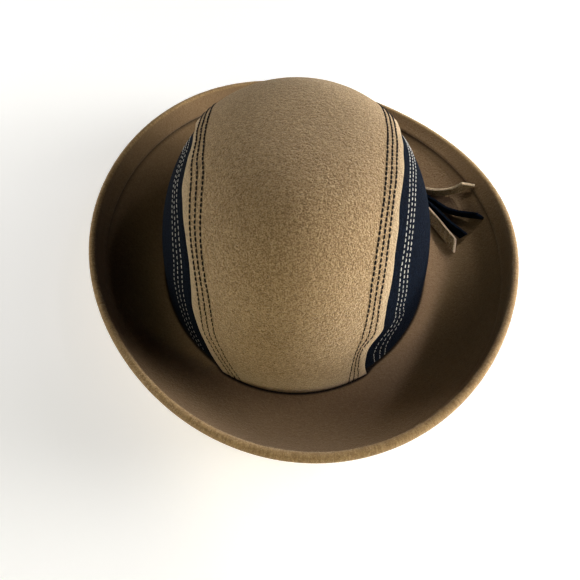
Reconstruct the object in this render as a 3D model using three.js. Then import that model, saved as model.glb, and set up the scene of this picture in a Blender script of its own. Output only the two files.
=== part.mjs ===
// A felt hat: a smooth round crown sewn from three panels, a brim turned up all the way round, and
// four felt strips that fan out over the brim from the foot of the crown.
// Millimetres, +Z up, -Y is the front of the hat and +X the wearer's left.
import * as THREE from "three";

// Felt and clearances.
const feltThickness = 2;
const pieceGap = 0.3; // between pieces that stand on one another
const lapGap = 0.6; // between the crown panels where one lies over the other

// Crown. Its outside follows (X^2 + Y^2)^(shoulderPower / 2) + Z^domePower = 1, where X, Y and Z are
// the fractions of its half width, its half length and its height.
const crownHalfWidth = 88.3;
const crownHalfLength = 98.8;
const crownTop = 115.4;
const crownFoot = feltThickness + pieceGap;
const shoulderPower = 2.81;
const domePower = 2.2;
const frontNarrowing = 0.045; // the crown is this fraction narrower at its front, wider at its back
const centreProud = 1; // the centre panel's outside lies this far over the crown's form
const sideSunk = feltThickness + lapGap - centreProud; // and the side panels' this far under it
const crownInset = sideSunk + feltThickness; // the inside of the crown, at the side panels

// Cut edges of the centre panel: their distance left and right of the middle at each station, in
// degrees round the crown from its foot at the back (0) over the top (90) to the front (180).
const centreEdges = [
  { station: 0, left: 42, right: 44 },
  { station: 12, left: 50, right: 46 },
  { station: 30, left: 57, right: 51 },
  { station: 60, left: 60.5, right: 58 },
  { station: 82, left: 59, right: 58.5 },
  { station: 100, left: 64, right: 56 },
  { station: 120, left: 62, right: 53.5 },
  { station: 137, left: 58.5, right: 51 },
  { station: 151, left: 58, right: 50 },
  { station: 160, left: 55, right: 44.5 },
  { station: 166, left: 51.5, right: 40.5 },
  { station: 180, left: 40, right: 43 },
];
// Edge of each side panel, hidden under the centre panel, as a distance from the middle.
const hiddenEdge = { foot: 28, top: 46, power: 0.6, endStation: 2 };

// Brim. At each bearing (0 is +X, 90 the back): its width along the felt from the crown's form, the
// slope in degrees that it has turned up to at its rim, and the width of its folded welt.
const brimTurns = [
  { bearing: 0, width: 63, slope: 68, welt: 12 },
  { bearing: 45, width: 57, slope: 44, welt: 9.5 },
  { bearing: 90, width: 62.5, slope: 51, welt: 11.5 },
  { bearing: 135, width: 62, slope: 69, welt: 13.5 },
  { bearing: 180, width: 54.5, slope: 69, welt: 12.5 },
  { bearing: 225, width: 60, slope: 74, welt: 11.5 },
  { bearing: 270, width: 73, slope: 63, welt: 11.5 },
  { bearing: 315, width: 73, slope: 70, welt: 11.5 },
];
const flatWidth = 5; // flat ring outside the crown's form, which the hat rests on
const turnPower = 0.64; // how the slope grows from the flat ring to the rim
const weltStep = 0.3; // run of the step from the brim up to its welt

// Trim strips. Along each one: its distance out along the brim from the crown's foot, its bearing,
// the angle between its width and the brim (90 stands it on its edge), and its lower edge's height
// over the brim. slant is how much longer its lower edge is than its upper edge.
const stripWidth = 7.5;
const strips = [
  {
    name: "trim_strip_tan_upper",
    felt: "tan",
    slant: 6,
    route: [
      { reach: 0.8, bearing: 50, lean: 90, lift: 0.6 },
      { reach: 12, bearing: 39, lean: 90, lift: 0.6 },
      { reach: 23, bearing: 30, lean: 90, lift: 0.6 },
      { reach: 35, bearing: 25, lean: 88, lift: 1 },
      { reach: 49, bearing: 22, lean: 80, lift: 3 },
    ],
  },
  {
    name: "trim_strip_black_upper",
    felt: "black",
    slant: 0,
    route: [
      { reach: 0.8, bearing: 46, lean: 90, lift: 0.6 },
      { reach: 12, bearing: 36, lean: 90, lift: 0.6 },
      { reach: 20, bearing: 26, lean: 90, lift: 0.6 },
      { reach: 27, bearing: 18.5, lean: 90, lift: 0.6 },
      { reach: 46, bearing: 9.7, lean: 86, lift: 1 },
    ],
  },
  {
    name: "trim_strip_black_lower",
    felt: "black",
    slant: -7,
    route: [
      { reach: 0.8, bearing: 42.3, lean: 90, lift: 0.6 },
      { reach: 11, bearing: 33.5, lean: 90, lift: 0.6 },
      { reach: 17, bearing: 23.5, lean: 86, lift: 0.6 },
      { reach: 22.5, bearing: 13.5, lean: 72, lift: 0.8 },
      { reach: 30, bearing: 6, lean: 55, lift: 1.5 },
    ],
  },
  {
    name: "trim_strip_tan_lower",
    felt: "tan",
    slant: 6,
    route: [
      { reach: 0.8, bearing: 38.6, lean: 90, lift: 0.6 },
      { reach: 9, bearing: 30, lean: 75, lift: 0.6 },
      { reach: 13.5, bearing: 18.5, lean: 45, lift: 0.8 },
      { reach: 17.5, bearing: 10.5, lean: 40, lift: 1 },
      { reach: 22, bearing: 4, lean: 38, lift: 1.2 },
    ],
  },
];

// Steps of the sums and of the faceted surfaces.
const courseSteps = 24; // along the brim's slope, when it is added up
const brimSectors = 72;
const lowerSteps = 11; // on the brim's lower face, from the flat ring to the rim
const upperSteps = 9; // on its upper face, from the welt to the flat ring
const weltSteps = 2; // across the welt
const rimSteps = 5; // round the rim
const centreAcross = 12;
const centreAlong = 40;
const sideAlong = 34;
const sideUp = 9;
const stripAlong = 12;
const stripAcross = 2;

const felts = {
  tan: new THREE.MeshStandardMaterial({ color: 0x9c8058, roughness: 0.95, metalness: 0 }),
  black: new THREE.MeshStandardMaterial({ color: 0x14171d, roughness: 0.95, metalness: 0 }),
};

const radians = THREE.MathUtils.degToRad;

// ---------------------------------------------------------------- tables

// Smooth value of a table's column between its rows (a cubic through them, with the rows' own slopes).
function alongTable(rows, at, column, where) {
  let i = 0;
  while (i < rows.length - 2 && where > rows[i + 1][at]) i += 1;
  const slope = (k) => {
    const before = rows[Math.max(k - 1, 0)];
    const after = rows[Math.min(k + 1, rows.length - 1)];
    return (after[column] - before[column]) / (after[at] - before[at]);
  };
  const span = rows[i + 1][at] - rows[i][at];
  const t = (where - rows[i][at]) / span;
  const rise = t * t * (3 - 2 * t);
  return (
    rows[i][column] * (1 - rise) +
    rows[i + 1][column] * rise +
    span * (t * (1 - t) * (1 - t) * slope(i) - t * t * (1 - t) * slope(i + 1))
  );
}

// Smooth value of a column of brimTurns at a bearing: the lowest harmonics that meet every row.
function aroundBrim(column, bearing) {
  const count = brimTurns.length;
  let value = 0;
  for (const row of brimTurns) {
    const turn = radians(bearing - row.bearing) / 2;
    const share = Math.abs(Math.sin(turn)) < 1e-9 ? 1 : Math.sin(count * turn) / (count * Math.tan(turn));
    value += row[column] * share;
  }
  return value;
}

// ---------------------------------------------------------------- crown

// Point of the crown's form at the fractions X, Y and Z, moved outwards along its normal by lift.
function crownPoint(X, Y, Z, lift) {
  const widening = 1 + frontNarrowing * Y;
  const height = crownTop - crownFoot;
  const edge = shoulderPower * Math.hypot(X, Y) ** (shoulderPower - 2);
  const normal = new THREE.Vector3(
    (edge * X) / (crownHalfWidth * widening),
    (edge * (Y - (X * X * frontNarrowing) / widening)) / crownHalfLength,
    (domePower * Z ** (domePower - 1)) / height,
  ).normalize();
  return new THREE.Vector3(
    crownHalfWidth * widening * X,
    crownHalfLength * Y,
    crownFoot + height * Z,
  ).addScaledVector(normal, lift);
}

// Fractions X, Y and Z of the form at a distance x from the middle, at a station round the crown.
function fractionsAt(x, station) {
  const back = Math.cos(radians(station));
  const up = Math.max(Math.sin(radians(station)), 0);
  let low = 0;
  let high = 1.2;
  for (let i = 0; i < 40; i += 1) {
    const r = (low + high) / 2;
    const X = x / (crownHalfWidth * (1 + frontNarrowing * r * back));
    const reach = Math.hypot(X, r * back) ** shoulderPower + (r * up) ** domePower;
    if (reach < 1) low = r;
    else high = r;
  }
  return { X: x / (crownHalfWidth * (1 + frontNarrowing * low * back)), Y: low * back, Z: low * up };
}

function crownCentre() {
  return feltSheet(centreAcross, centreAlong, (s, t, side) => {
    const station = 180 * (1 - t);
    const left = -alongTable(centreEdges, "station", "left", station);
    const right = alongTable(centreEdges, "station", "right", station);
    const { X, Y, Z } = fractionsAt(left + (right - left) * s, station);
    return crownPoint(X, Y, Z, centreProud - (1 - side) * feltThickness);
  });
}

// One side panel: up from the crown's foot to its hidden edge. hand is 1 at +X and -1 at -X.
function crownSide(hand) {
  const { foot, top, power, endStation } = hiddenEdge;
  return feltSheet(sideAlong, sideUp, (s, t, side) => {
    const turn = hand > 0 ? 1 - s : s;
    const station = endStation + (180 - 2 * endStation) * turn;
    const x = hand * (foot + (top - foot) * Math.sin(radians(station)) ** power);
    const edge = fractionsAt(x, station);
    const bearing = Math.atan2(edge.Y, edge.X);
    const climb = t * Math.acos(Math.hypot(edge.X, edge.Y) ** (shoulderPower / 2));
    const inward = Math.cos(climb) ** (2 / shoulderPower);
    return crownPoint(
      Math.cos(bearing) * inward,
      Math.sin(bearing) * inward,
      Math.sin(climb) ** (2 / domePower),
      -sideSunk - (1 - side) * feltThickness,
    );
  });
}

// ---------------------------------------------------------------- brim

// The brim's course at a bearing: its width, and point(reach, height), which gives the point of its
// upper face at a distance along the felt from the crown's form, moved off that face by height.
function brimCourse(bearing) {
  const width = aroundBrim("width", bearing);
  const rimSlope = radians(aroundBrim("slope", bearing));
  const a = radians(bearing);
  const widening = 1 + frontNarrowing * Math.sin(a);
  const start = new THREE.Vector3(
    crownHalfWidth * widening * Math.cos(a),
    crownHalfLength * Math.sin(a),
    feltThickness,
  );
  const outward = new THREE.Vector3(
    crownHalfLength * Math.cos(a),
    crownHalfWidth * (widening * Math.sin(a) - frontNarrowing * Math.cos(a) ** 2),
    0,
  ).normalize();
  const slopeAt = (reach) => {
    const part = Math.max(reach - flatWidth, 0) / (width - flatWidth);
    return rimSlope * part ** turnPower;
  };
  const point = (reach, height) => {
    const bend = Math.max(reach - flatWidth, 0);
    let run = reach - bend;
    let rise = 0;
    for (let i = 0; i < courseSteps; i += 1) {
      const slope = slopeAt(flatWidth + (bend * (i + 0.5)) / courseSteps);
      run += (bend / courseSteps) * Math.cos(slope);
      rise += (bend / courseSteps) * Math.sin(slope);
    }
    const slope = slopeAt(reach);
    return start
      .clone()
      .addScaledVector(outward, run - height * Math.sin(slope))
      .add(new THREE.Vector3(0, 0, rise + height * Math.cos(slope)));
  };
  return { width, point };
}

// Section of the brim at a bearing: out along its lower face, round the rim and back in over the welt.
function brimSection(bearing) {
  const { width, point } = brimCourse(bearing);
  const welt = aroundBrim("welt", bearing);
  const section = [point(-crownInset, -feltThickness)];
  for (let i = 0; i <= lowerSteps; i += 1) {
    section.push(point(flatWidth + ((width - flatWidth) * i) / lowerSteps, -feltThickness));
  }
  for (let i = 1; i < rimSteps; i += 1) {
    const turn = (Math.PI * i) / rimSteps;
    section.push(point(width + feltThickness * Math.sin(turn), -feltThickness * Math.cos(turn)));
  }
  for (let i = 0; i <= weltSteps; i += 1) {
    section.push(point(width - (welt * i) / weltSteps, feltThickness));
  }
  const upperEnd = width - welt - weltStep;
  for (let i = 0; i <= upperSteps; i += 1) {
    section.push(point(upperEnd + ((flatWidth - upperEnd) * i) / upperSteps, 0));
  }
  section.push(point(-crownInset, 0));
  return section;
}

function brim() {
  const sections = [];
  for (let i = 0; i < brimSectors; i += 1) sections.push(brimSection((360 * i) / brimSectors));
  const faces = [];
  const index = (i, k) => (i % brimSectors) * sections[0].length + (k % sections[0].length);
  for (let i = 0; i < brimSectors; i += 1) {
    for (let k = 0; k < sections[0].length; k += 1) {
      addQuad(faces, index(i, k), index(i + 1, k), index(i + 1, k + 1), index(i, k + 1));
    }
  }
  return solid(sections.flat(), faces);
}

// ---------------------------------------------------------------- trim

// A strip's middle line at a distance from the crown: its place, its direction, the brim's normal
// there, and how far the line runs for each millimetre of that distance.
function stripCourse(route, reach) {
  const lean = radians(alongTable(route, "reach", "lean", reach));
  const height =
    alongTable(route, "reach", "lift", reach) +
    (stripWidth / 2) * Math.sin(lean) +
    (feltThickness / 2) * Math.cos(lean);
  const at = (distance, extra) =>
    brimCourse(alongTable(route, "reach", "bearing", distance)).point(distance, height + extra);
  const step = 0.2;
  const middle = at(reach, 0);
  const along = at(reach + step, 0).sub(at(reach - step, 0));
  const pace = along.length() / (2 * step);
  along.normalize();
  const off = at(reach, 1).sub(middle);
  off.addScaledVector(along, -off.dot(along)).normalize();
  return { middle, along, off, lean, pace };
}

function trimStrip({ route, slant }) {
  const first = route[0].reach;
  const last = route[route.length - 1].reach;
  return feltSheet(stripAlong, stripAcross, (s, t, side) => {
    const reach = first + (last - first) * s;
    const longer = (slant * (0.5 - t) * s ** 4) / stripCourse(route, reach).pace;
    const { middle, along, off, lean } = stripCourse(route, reach + longer);
    const across = off.clone().cross(along).multiplyScalar(Math.cos(lean));
    across.addScaledVector(off, Math.sin(lean));
    const through = along.clone().cross(across);
    return middle
      .addScaledVector(across, stripWidth * (t - 0.5))
      .addScaledVector(through, feltThickness * (side - 0.5));
  });
}

// ---------------------------------------------------------------- solids

function addQuad(faces, a, b, c, d) {
  faces.push(a, b, c, a, c, d);
}

function solid(points, faces) {
  const geometry = new THREE.BufferGeometry().setFromPoints(points);
  geometry.setIndex(faces);
  geometry.computeVertexNormals();
  return geometry;
}

// A closed sheet of felt. point(s, t, side) gives its surface for s and t from 0 to 1, on its under
// side (0) and its outer side (1), whose normal is the direction of s crossed with that of t.
function feltSheet(countS, countT, point) {
  const points = [];
  for (const side of [0, 1]) {
    for (let i = 0; i <= countS; i += 1) {
      for (let j = 0; j <= countT; j += 1) points.push(point(i / countS, j / countT, side));
    }
  }
  const index = (i, j, side) => (side * (countS + 1) + i) * (countT + 1) + j;
  const faces = [];
  for (let i = 0; i < countS; i += 1) {
    for (let j = 0; j < countT; j += 1) {
      addQuad(faces, index(i, j, 1), index(i + 1, j, 1), index(i + 1, j + 1, 1), index(i, j + 1, 1));
      addQuad(faces, index(i, j, 0), index(i, j + 1, 0), index(i + 1, j + 1, 0), index(i + 1, j, 0));
    }
    const end = countT;
    addQuad(faces, index(i, 0, 0), index(i + 1, 0, 0), index(i + 1, 0, 1), index(i, 0, 1));
    addQuad(faces, index(i, end, 0), index(i, end, 1), index(i + 1, end, 1), index(i + 1, end, 0));
  }
  for (let j = 0; j < countT; j += 1) {
    const end = countS;
    addQuad(faces, index(0, j, 0), index(0, j, 1), index(0, j + 1, 1), index(0, j + 1, 0));
    addQuad(faces, index(end, j, 0), index(end, j + 1, 0), index(end, j + 1, 1), index(end, j, 1));
  }
  return solid(points, faces);
}

function piece(name, felt, geometry) {
  const mesh = new THREE.Mesh(geometry, felts[felt]);
  mesh.name = name;
  return mesh;
}

// ---------------------------------------------------------------- the hat

const hat = new THREE.Group();
hat.add(piece("brim", "tan", brim()));
hat.add(piece("crown_centre_panel", "tan", crownCentre()));
hat.add(piece("crown_side_left", "black", crownSide(-1)));
hat.add(piece("crown_side_right", "black", crownSide(1)));
for (const strip of strips) hat.add(piece(strip.name, strip.felt, trimStrip(strip)));

// The part's origin is the middle of the hat's outline, on the surface that it rests on.
const middle = new THREE.Box3().setFromObject(hat).getCenter(new THREE.Vector3());
hat.position.set(-middle.x, -middle.y, 0);
const part = new THREE.Group();
part.add(hat);

export default part;
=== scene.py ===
"""A felt hat in three panels with its brim turned up, and a fan of felt strips over the brim.

Lengths are in millimetres, in the hat's own frame: the crown's middle is at x = y = 0, -y is the
front, +x the wearer's left and z = 0 the surface it stands on. to_part() moves them to the part.
"""

import bpy
import numpy as np
from mathutils import Matrix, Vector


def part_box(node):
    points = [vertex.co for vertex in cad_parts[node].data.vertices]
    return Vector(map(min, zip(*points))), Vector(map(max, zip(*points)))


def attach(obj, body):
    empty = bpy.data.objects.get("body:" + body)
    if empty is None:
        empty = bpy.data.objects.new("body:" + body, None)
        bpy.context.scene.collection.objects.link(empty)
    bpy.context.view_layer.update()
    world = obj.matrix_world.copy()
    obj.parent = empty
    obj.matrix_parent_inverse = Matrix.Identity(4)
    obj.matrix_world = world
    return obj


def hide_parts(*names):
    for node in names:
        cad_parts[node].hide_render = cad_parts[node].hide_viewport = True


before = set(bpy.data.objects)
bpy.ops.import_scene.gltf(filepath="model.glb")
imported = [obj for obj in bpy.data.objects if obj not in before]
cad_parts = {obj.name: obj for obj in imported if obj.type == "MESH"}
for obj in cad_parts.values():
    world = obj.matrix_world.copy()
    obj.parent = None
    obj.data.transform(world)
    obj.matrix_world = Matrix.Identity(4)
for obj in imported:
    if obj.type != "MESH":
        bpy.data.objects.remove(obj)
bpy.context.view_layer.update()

# ------------------------------------------------------------------ sizes

FELT = 2.0
PIECE_GAP = 0.3  # between the crown's foot and the brim
LAP_GAP = 0.6  # between the side panels and the centre panel over them

CROWN_HALF_WIDTH = 88.3
CROWN_HALF_LENGTH = 98.8
CROWN_TOP = 115.4
CROWN_FOOT = FELT + PIECE_GAP
SHOULDER_POWER = 2.81
DOME_POWER = 2.2
FRONT_NARROWING = 0.045
CENTRE_PROUD = 1.0  # the centre panel's outer face, out from the crown's form
SIDE_SUNK = FELT + LAP_GAP - CENTRE_PROUD  # the side panels' outer face, in from it
CROWN_INSET = SIDE_SUNK + FELT  # the head opening's edge, in from it

# Cut edges of the centre panel: distance left and right of the middle, at stations in degrees
# round the crown from its back foot (0) over the top (90) to its front foot (180).
CENTRE_EDGES = {
    "station": [0, 12, 30, 60, 82, 100, 120, 137, 151, 160, 166, 180],
    "left": [42, 50, 57, 60.5, 59, 64, 62, 58.5, 58, 55, 51.5, 40],
    "right": [44, 46, 51, 58, 58.5, 56, 53.5, 51, 50, 44.5, 40.5, 43],
}
# How far the cut edges and the first and last rows of stitches beside them stray from their even
# lines, away from the middle: a row for each station, a column for each line.
STRAY_LINES = (
    "station", "left_edge", "left_first", "left_last", "left_light_first", "left_light_last",
    "right_edge", "right_first", "right_last", "right_light_first", "right_light_last",
)
STRAY_ROWS = (
    (  0,    0,    0,    0,   0,   0,    0,    0,    0,    0,   0),
    ( 60,    0,    0,    0,   0,   0,    0,    0,    0,    0,   0),
    ( 80,  0.4,  2.4,  3.2,   0,   0, -1.5, -0.4,  0.7,    0,   0),
    ( 88, -1.8,  0.6,    2,   0,   0, -0.6,    0,  0.9,    0,   0),
    ( 96, -2.2, -1.6, -1.6,   0,   0,  0.3,    0,    1,    0,   0),
    (104, -1.2, -3.3, -4.7,   0,   0,    0,    0,  0.7,    0,   0),
    (112, -1.1, -2.5, -3.9,   0, 0.4, -1.3, -0.9,  0.2,    0,   0),
    (120, -1.1, -1.4, -2.3,   0,   1, -1.8, -1.7, -0.9,    0,   0),
    (130, -2.1, -0.5, -0.5, 0.8, 2.4, -1.3, -1.8, -1.5,    0, 0.3),
    (138,   -1, -0.4, -0.2, 1.4, 3.6, -0.4, -1.7, -1.8,    0, 0.7),
    (146, -0.6, -1.3, -1.9, 1.8, 4.2, -2.2, -2.6, -2.1,  0.5, 1.4),
    (150, -0.5, -1.5, -2.4,   2, 4.2, -1.7, -2.2, -2.1,    1, 1.7),
    (154, -0.3, -1.1, -1.8, 2.2, 4.2, -0.4, -0.3, -0.2,    2, 2.6),
    (158,  0.2,  0.3, -0.4, 2.8, 4.6,  1.8,  1.9,  2.1,  4.4, 5.4),
    (162,  0.4,  1.6,    1, 3.4,   5, -0.4,  0.4,  3.7,    4, 6.3),
    (166,  0.6,  1.8,  2.2, 4.2, 5.5, -0.8,  0.4,    4,  1.2,   5),
    (172,  1.8,  2.3,  3.8, 5.5, 6.5, -0.7,  0.1,  3.1, -1.6,   1),
    (180,  2.4,  2.8,  4.5, 6.5,   7,    0, -0.5,  0.8,   -1,   0),
)
STRAYS = dict(zip(STRAY_LINES, zip(*STRAY_ROWS)))
# Edge of each side panel, under the centre panel: its distance from the middle.
HIDDEN_FOOT, HIDDEN_TOP, HIDDEN_POWER, HIDDEN_END = 28, 46, 0.6, 2

# Brim at each bearing (0 is +x, 90 the back): width of felt, slope at the rim, width of the welt.
BRIM_TURNS = {
    "bearing": [0, 45, 90, 135, 180, 225, 270, 315],
    "width": [63, 57, 62.5, 62, 54.5, 60, 73, 73],
    "slope": [68, 44, 51, 69, 69, 74, 63, 70],
    "welt": [12, 9.5, 11.5, 13.5, 12.5, 11.5, 11.5, 11.5],
}
FLAT_WIDTH = 5  # of the flat ring that the hat stands on
TURN_POWER = 0.64
COURSE_STEPS = 24

# Felt strips: distance out along the brim, bearing, lean of the width and lift of the lower edge.
STRIP_WIDTH = 7.5
STRIPS = {
    "trim_strip_tan_upper": {
        "slant": 6,
        "reach": [0.8, 12, 23, 35, 49],
        "bearing": [50, 39, 30, 25, 22],
        "lean": [90, 90, 90, 88, 80],
        "lift": [0.6, 0.6, 0.6, 1, 3],
    },
    "trim_strip_black_upper": {
        "slant": 0,
        "reach": [0.8, 12, 20, 27, 46],
        "bearing": [46, 36, 26, 18.5, 9.7],
        "lean": [90, 90, 90, 90, 86],
        "lift": [0.6, 0.6, 0.6, 0.6, 1],
    },
    "trim_strip_black_lower": {
        "slant": -7,
        "reach": [0.8, 11, 17, 22.5, 30],
        "bearing": [42.3, 33.5, 23.5, 13.5, 6],
        "lean": [90, 90, 86, 72, 55],
        "lift": [0.6, 0.6, 0.6, 0.8, 1.5],
    },
    "trim_strip_tan_lower": {
        "slant": 6,
        "reach": [0.8, 9, 13.5, 17.5, 22],
        "bearing": [38.6, 30, 18.5, 10.5, 4],
        "lean": [90, 75, 45, 40, 38],
        "lift": [0.6, 0.6, 0.8, 1, 1.2],
    },
}

# Stitches. Rows are this far from the centre panel's cut edge, along the felt: dark ones in from
# it, light ones out over the side panels. Then the distance from one stitch to the next, and a
# stitch's length and thickness, on the left (-1) and on the right (1).
DARK_ROWS = [6.0, 9.9, 13.8]
LIGHT_ROWS = [9.5, 13.0, 16.5]
DARK_STITCH = {"pitch": 3.0, "length": 2.85, "thickness": {-1: 1.35, 1: 1.35}}
LIGHT_STITCH = {"pitch": 3.2, "length": 2.35, "thickness": {-1: 0.6, 1: 0.76}}
THREAD_RINGS, THREAD_SIDES = 9, 6
THIN_FROM, THIN_OVER = 140, 25  # stations over which the thread is drawn thin, down to half
GROOVE_HALF_WIDTH = 0.55
GROOVE_DEPTH = 0.22
EDGE_ROUNDING = 0.4  # how far a cut edge of felt is rounded in

rng = np.random.default_rng(11)

# ------------------------------------------------------------------ camera

SENSOR_WIDTH, LENS = 36, 39.1034
AZIMUTH, ELEVATION, ROLL = -0.0104, np.radians(54), 0.02686
DISTANCE = 428.1  # to the plane through the hat's own origin
ASIDE, ABOVE = 3.47, 19.43  # the origin's place in that plane, right of and below the middle


def part_middle():
    """The crown's middle in the part's frame: midway between the side panels, and between the
    centre panel's two feet."""
    left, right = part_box("crown_side_left"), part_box("crown_side_right")
    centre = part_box("crown_centre_panel")
    return np.array(
        [(left[0].x + right[1].x) / 2, (centre[0].y + centre[1].y) / 2, 0.0]
    )


MIDDLE = part_middle()


def to_part(points):
    """Points of the hat's frame in millimetres, in the part's frame in metres."""
    return np.asarray(points, float) / 1000 + MIDDLE


def add_camera():
    """A camera that looks along -back, turned by ROLL round its own axis."""
    back = np.array(
        [
            np.sin(AZIMUTH) * np.cos(ELEVATION),
            -np.cos(AZIMUTH) * np.cos(ELEVATION),
            np.sin(ELEVATION),
        ]
    )
    level = np.array([np.cos(AZIMUTH), np.sin(AZIMUTH), 0])
    upright = np.cross(back, level)
    right = np.cos(ROLL) * level + np.sin(ROLL) * upright
    up = -np.sin(ROLL) * level + np.cos(ROLL) * upright
    place = to_part(DISTANCE * back - ASIDE * right - ABOVE * up)
    data = bpy.data.cameras.new("camera")
    data.sensor_width, data.lens = SENSOR_WIDTH, LENS
    data.clip_start, data.clip_end = 0.01, 50
    camera = bpy.data.objects.new("camera", data)
    turned = np.eye(4)
    turned[:3, 0], turned[:3, 1], turned[:3, 2], turned[:3, 3] = right, up, back, place
    camera.matrix_world = Matrix(turned.tolist())
    bpy.context.scene.collection.objects.link(camera)
    bpy.context.scene.camera = camera


# ------------------------------------------------------------------ shapes


def along_table(table, at, column, where):
    """A table's column at where: between two rows, the cubic that meets both with the slopes of
    the lines through their neighbours; outside the table, the straight line on from its end."""
    rows, values = np.asarray(table[at], float), np.asarray(table[column], float)
    where = np.asarray(where, float)
    index = np.arange(len(rows))
    before, after = np.maximum(index - 1, 0), np.minimum(index + 1, len(rows) - 1)
    slopes = (values[after] - values[before]) / (rows[after] - rows[before])
    inside = np.clip(where, rows[0], rows[-1])
    i = np.clip(np.searchsorted(rows, inside, side="left") - 1, 0, len(rows) - 2)
    span = rows[i + 1] - rows[i]
    t = (inside - rows[i]) / span
    rise = t * t * (3 - 2 * t)
    bend = t * (1 - t) * (1 - t) * slopes[i] - t * t * (1 - t) * slopes[i + 1]
    end_slope = np.where(where < rows[0], slopes[0], slopes[-1])
    return (
        values[i] * (1 - rise)
        + values[i + 1] * rise
        + span * bend
        + end_slope * (where - inside)
    )


def around_brim(column, bearing):
    """A column of BRIM_TURNS at a bearing: the lowest harmonics that meet every row."""
    count = len(BRIM_TURNS["bearing"])
    value = np.zeros_like(np.asarray(bearing, float))
    for row, height in zip(BRIM_TURNS["bearing"], BRIM_TURNS[column]):
        turn = np.radians(bearing - row) / 2
        flat = np.abs(np.sin(turn)) < 1e-9
        turn = np.where(flat, 1, turn)
        share = np.where(flat, 1, np.sin(count * turn) / (count * np.tan(turn)))
        value = value + height * share
    return value


def unit(vectors):
    """The vectors, each made one long."""
    return vectors / np.linalg.norm(vectors, axis=-1, keepdims=True)


def crown_point(X, Y, Z, lift):
    """The crown's form, (X^2 + Y^2)^(SHOULDER_POWER / 2) + |Z|^DOME_POWER = 1 in fractions of its
    half width, half length and height, moved out along its normal by lift."""
    widening = 1 + FRONT_NARROWING * Y
    height = CROWN_TOP - CROWN_FOOT
    edge = SHOULDER_POWER * np.hypot(X, Y) ** (SHOULDER_POWER - 2)
    normal = unit(
        np.stack(
            [
                edge * X / (CROWN_HALF_WIDTH * widening),
                edge * (Y - X * X * FRONT_NARROWING / widening) / CROWN_HALF_LENGTH,
                DOME_POWER * np.sign(Z) * np.abs(Z) ** (DOME_POWER - 1) / height,
            ],
            -1,
        )
    )
    place = np.stack(
        [
            CROWN_HALF_WIDTH * widening * X,
            CROWN_HALF_LENGTH * Y,
            CROWN_FOOT + height * Z,
        ],
        -1,
    )
    return place + normal * np.asarray(lift, float)[..., None]


def fractions_at(x, station):
    """X, Y and Z of the form at a distance x from the middle, at a station; below the feet it
    goes on as its own mirror image. Halves the interval of the radius 40 times."""
    along, up = np.cos(np.radians(station)), np.sin(np.radians(station))
    low, high = np.zeros_like(x, float), np.full_like(x, 1.2, float)
    for _ in range(40):
        r = (low + high) / 2
        X = x / (CROWN_HALF_WIDTH * (1 + FRONT_NARROWING * r * along))
        inside = (
            np.hypot(X, r * along) ** SHOULDER_POWER + np.abs(r * up) ** DOME_POWER < 1
        )
        low, high = np.where(inside, r, low), np.where(inside, high, r)
    X = x / (CROWN_HALF_WIDTH * (1 + FRONT_NARROWING * low * along))
    return X, low * along, low * up


def crown_form(x, station, lift=0.0):
    """Point of the crown at a distance x from its middle and a station, moved out by lift."""
    x, station, lift = np.broadcast_arrays(
        np.asarray(x, float), np.asarray(station, float), lift
    )
    return crown_point(*fractions_at(x, station), lift)


def form_slopes(x, station):
    """How the form's point changes with x and with the station, from small differences."""
    step = 0.05
    by_x = (crown_form(x + step, station) - crown_form(x - step, station)) / (2 * step)
    by_station = crown_form(x, station + step) - crown_form(x, station - step)
    return by_x, by_station / (2 * step)


def beside_edge(hand, distance):
    """x and station of a line that keeps a distance from the centre panel's cut edge on that hand,
    out over the side panel if positive: steps of a millimetre at right angles to the last line."""
    station = np.linspace(-14, 194, 417)
    side = "right" if hand > 0 else "left"
    x = hand * along_table(CENTRE_EDGES, "station", side, station)
    steps = max(1, int(np.ceil(abs(distance))))
    for _ in range(steps):
        by_x, by_station = form_slopes(x, station)
        normal = unit(np.cross(by_x, by_station))
        along = unit(np.gradient(crown_form(x, station), axis=0))
        away = unit(np.cross(normal, along))
        away *= np.sign(away[:, :1] * hand) * distance / steps
        xx, xs, ss = [
            np.sum(a * b, -1)
            for a, b in ((by_x, by_x), (by_x, by_station), (by_station, by_station))
        ]
        ax, az = np.sum(by_x * away, -1), np.sum(by_station * away, -1)
        area = xx * ss - xs * xs
        x = x + (ss * ax - xs * az) / area
        station = station + (xx * az - xs * ax) / area
    return x, station


def edge_wobble(hand, station):
    """How far a hand-cut edge strays from its line: three waves of 20 to 70 millimetres."""
    phase = 1.3 if hand > 0 else 0.2
    return hand * (
        0.3 * np.sin(np.radians(station * 9) + phase)
        + 0.22 * np.sin(np.radians(station * 17) + 2.1 * phase)
        + 0.12 * np.sin(np.radians(station * 31) + 3.7 * phase)
    )


def stray(hand, distance, station):
    """How far x moves, at a distance out from the cut edge's even line: from one column of STRAYS
    to the next in even shares of the distance between their lines."""
    side = "right" if hand > 0 else "left"
    if distance > 0:
        ends, between = ("light_first", "light_last"), (LIGHT_ROWS[0], LIGHT_ROWS[-1])
    elif distance < -DARK_ROWS[0]:
        ends, between = ("first", "last"), (-DARK_ROWS[0], -DARK_ROWS[-1])
    else:
        ends, between = ("edge", "first"), (0, -DARK_ROWS[0])
    share = np.clip((distance - between[0]) / (between[1] - between[0]), 0, 1)
    near, far = [along_table(STRAYS, "station", f"{side}_{end}", station) for end in ends]
    return hand * (near * (1 - share) + far * share)


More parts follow.
